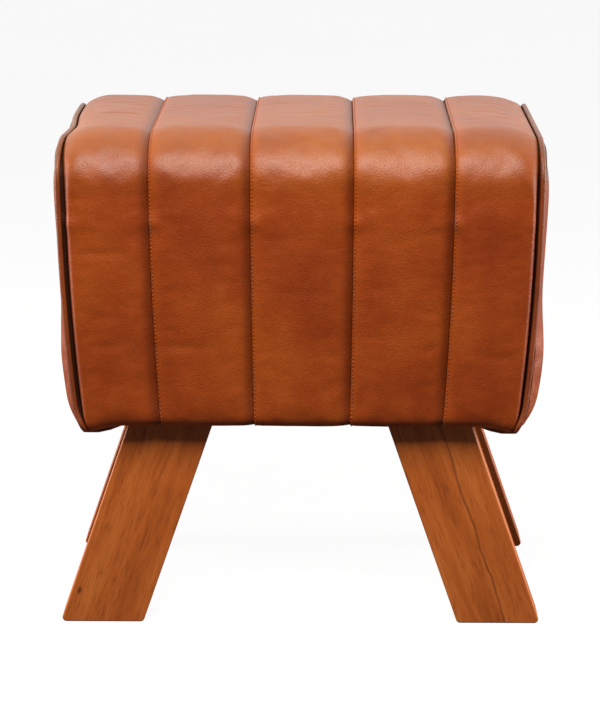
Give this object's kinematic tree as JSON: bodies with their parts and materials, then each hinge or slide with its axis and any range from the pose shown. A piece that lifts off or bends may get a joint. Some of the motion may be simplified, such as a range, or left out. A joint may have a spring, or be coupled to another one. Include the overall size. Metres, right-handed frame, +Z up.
{
  "type": "leather footstool",
  "caption": "Block-shaped padded leather footstool with sewn vertical channels, piped crowned ends and splayed flat wooden legs.",
  "frame": {"origin": "on the floor, under the centre of the seat", "axes": "+X along the seat to the right, +Y from the front to the rear, +Z up"},
  "size_m": [0.4564, 0.3, 0.45],
  "materials": {
    "leg_wood": "warm brown stain under satin lacquer, grain along the leg",
    "plywood": "bare plywood",
    "pine": "bare softwood",
    "foam": "cut upholstery foam",
    "hide": "burnt tan hide with a fine pebble grain, satin, rubbed lighter on the bulges",
    "piping_hide": "the same hide drawn tight over a cord, darker in the seam",
    "cord": "twisted paper and cotton cord",
    "thread": "bonded brown sewing thread",
    "zinc_steel": "zinc-plated steel",
    "dust_cloth": "thin black non-woven cloth"
  },
  "bodies": {
    "root": {"leg_front_left": "leg_wood", "leg_front_right": "leg_wood", "leg_rear_left": "leg_wood", "leg_rear_right": "leg_wood", "front_panel": "plywood", "rear_panel": "plywood", "end_board_left": "plywood", "end_board_right": "plywood", "top_board": "plywood", "corner_block_front_left": "pine", "corner_block_front_right": "pine", "corner_block_rear_left": "pine", "corner_block_rear_right": "pine", "top_batten": "pine", "foam_top": "foam", "foam_front": "foam", "foam_rear": "foam", "foam_end_left": "foam", "foam_end_right": "foam", "channel_panel_1": "hide", "channel_panel_2": "hide", "channel_panel_3": "hide", "channel_panel_4": "hide", "channel_panel_5": "hide", "end_cover_left": "hide", "end_cover_right": "hide", "piping_left": "piping_hide", "piping_right": "piping_hide", "piping_cord_left": "cord", "piping_cord_right": "cord", "seam_thread_1": "thread", "seam_thread_2": "thread", "seam_thread_3": "thread", "seam_thread_4": "thread", "leg_bolts": "zinc_steel", "leg_washers": "zinc_steel", "leg_tee_nuts": "zinc_steel", "frame_screws": "zinc_steel", "cover_staples": "zinc_steel", "dust_cover": "dust_cloth"}
  },
  "joints": []
}
